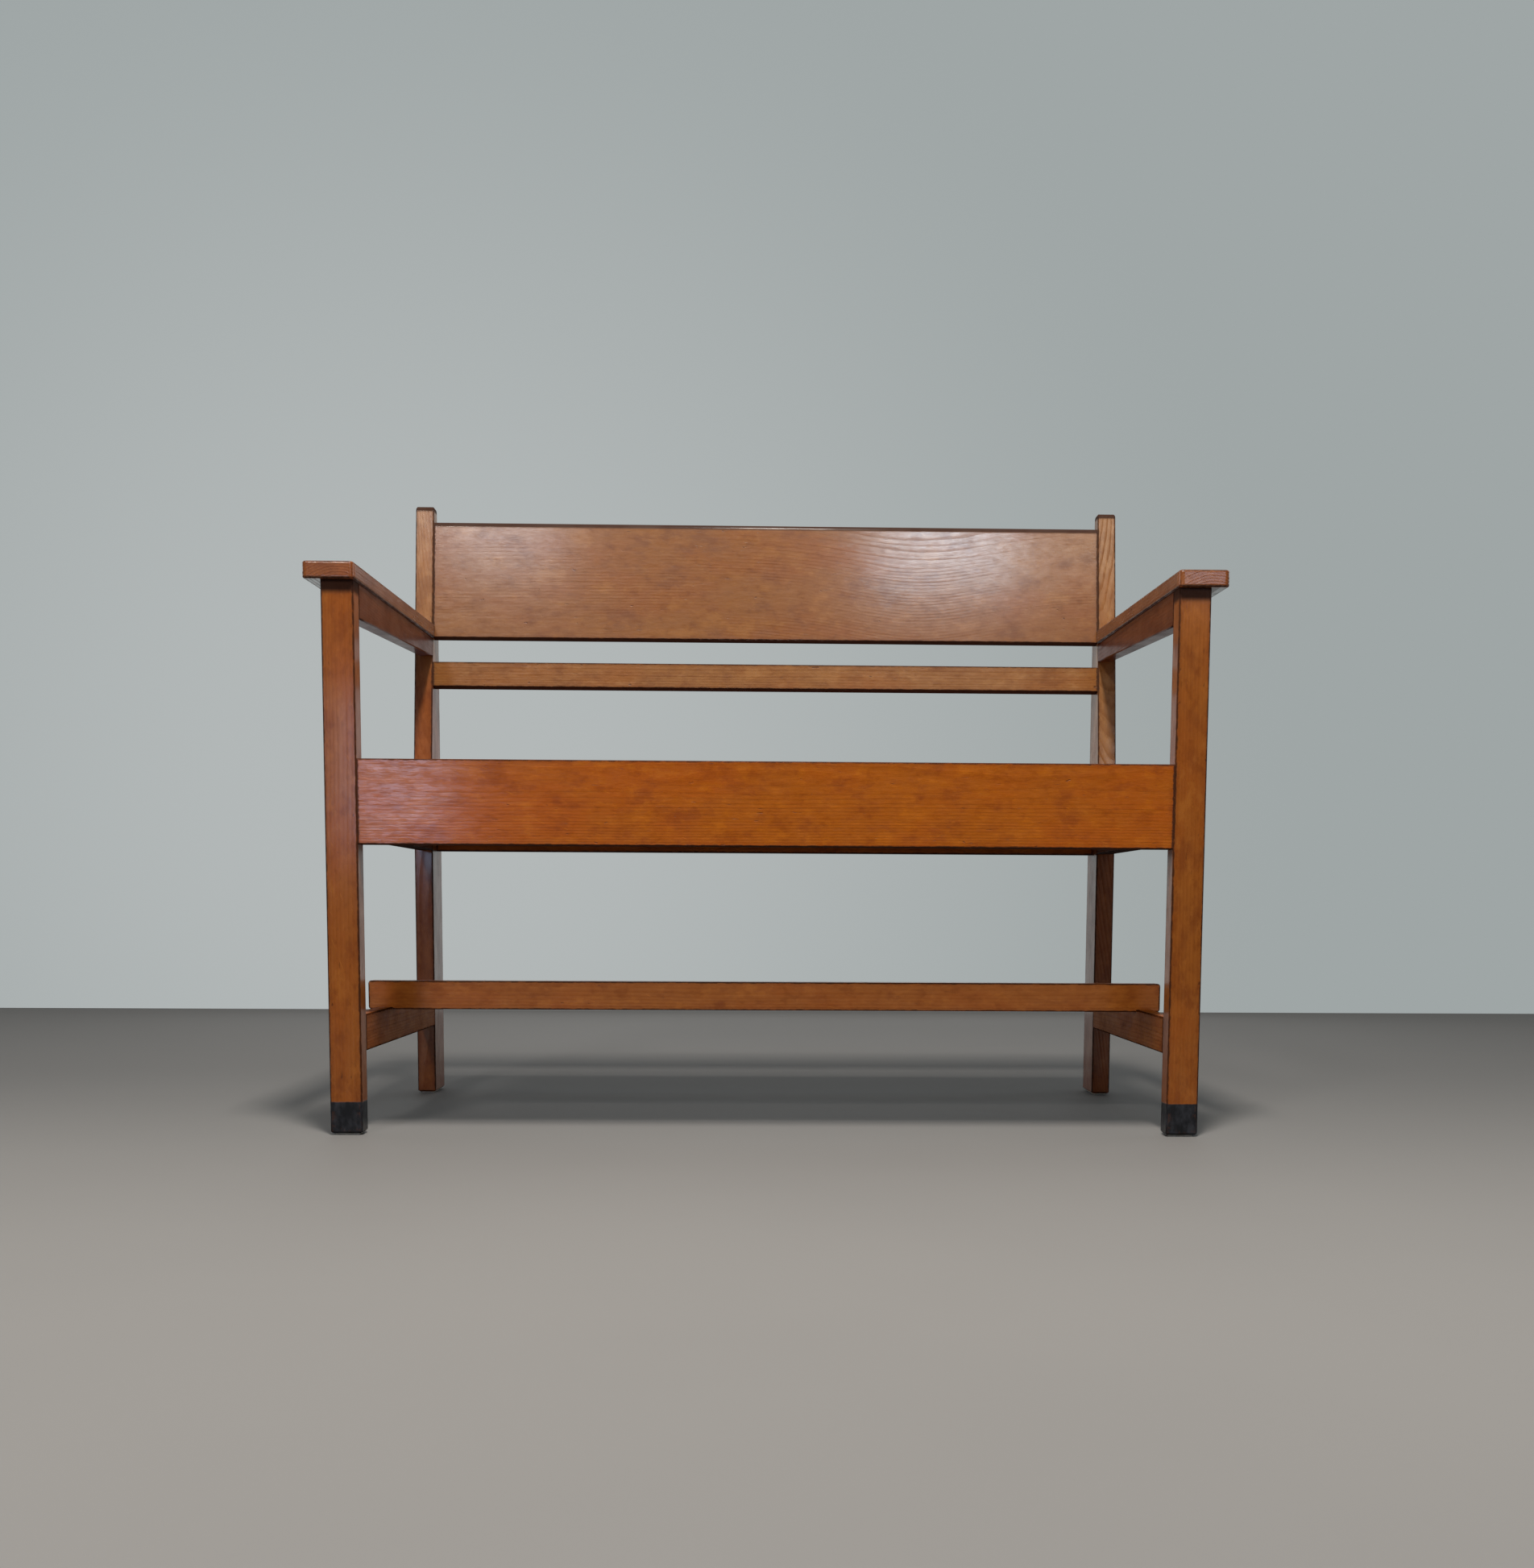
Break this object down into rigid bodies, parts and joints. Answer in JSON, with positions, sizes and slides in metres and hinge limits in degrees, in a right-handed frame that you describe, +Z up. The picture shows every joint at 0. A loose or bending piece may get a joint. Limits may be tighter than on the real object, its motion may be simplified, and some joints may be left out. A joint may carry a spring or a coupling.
{
  "type": "mission settle",
  "caption": "Wooden settle with flat arms, a raked back board over a narrow rail, a boarded seat behind a deep apron, and a low stretcher notched over the side stretchers.",
  "frame": {"origin": "on the floor, under the middle of the bounding box", "axes": "+Z up, -Y the way a sitter faces, +X to the right as seen from the front"},
  "size_m": [1.08, 0.4854, 0.849],
  "materials": {
    "leg_wood": "reddish brown stain under satin varnish",
    "post_wood": "lighter brown stain under satin varnish",
    "arm_wood": "orange-brown stain under satin varnish",
    "side_wood": "dark reddish brown stain under satin varnish",
    "apron_wood": "orange-brown stain under satin varnish",
    "stretcher_wood": "brown stain under satin varnish",
    "back_wood": "orange-brown stain under satin varnish",
    "seat_wood": "orange-brown stain under satin varnish",
    "plain_wood": "bare softwood",
    "dowel_wood": "bare beech dowel",
    "glide_felt": "pressed felt",
    "screw_steel": "plain steel"
  },
  "bodies": {
    "root": {"front_leg_left": "leg_wood", "back_post_left": "post_wood", "arm_left": "arm_wood", "arm_rail_left": "side_wood", "side_seat_rail_left": "side_wood", "side_stretcher_left": "side_wood", "seat_cleat_left": "plain_wood", "seat_bearer_left": "plain_wood", "corner_block_front_left": "plain_wood", "corner_block_back_left": "plain_wood", "felt_glide_front_left": "glide_felt", "felt_glide_back_left": "glide_felt", "front_leg_right": "leg_wood", "back_post_right": "post_wood", "arm_right": "arm_wood", "arm_rail_right": "side_wood", "side_seat_rail_right": "side_wood", "side_stretcher_right": "side_wood", "seat_cleat_right": "plain_wood", "seat_bearer_right": "plain_wood", "corner_block_front_right": "plain_wood", "corner_block_back_right": "plain_wood", "felt_glide_front_right": "glide_felt", "felt_glide_back_right": "glide_felt", "front_apron": "apron_wood", "back_seat_rail": "apron_wood", "long_stretcher": "stretcher_wood", "back_board": "back_wood", "lower_back_rail": "back_wood", "seat_board_1": "seat_wood", "seat_board_2": "seat_wood", "seat_board_3": "seat_wood", "seat_board_4": "seat_wood", "seat_board_5": "seat_wood", "stretcher_dowels": "dowel_wood", "seat_screws": "screw_steel"}
  },
  "joints": []
}
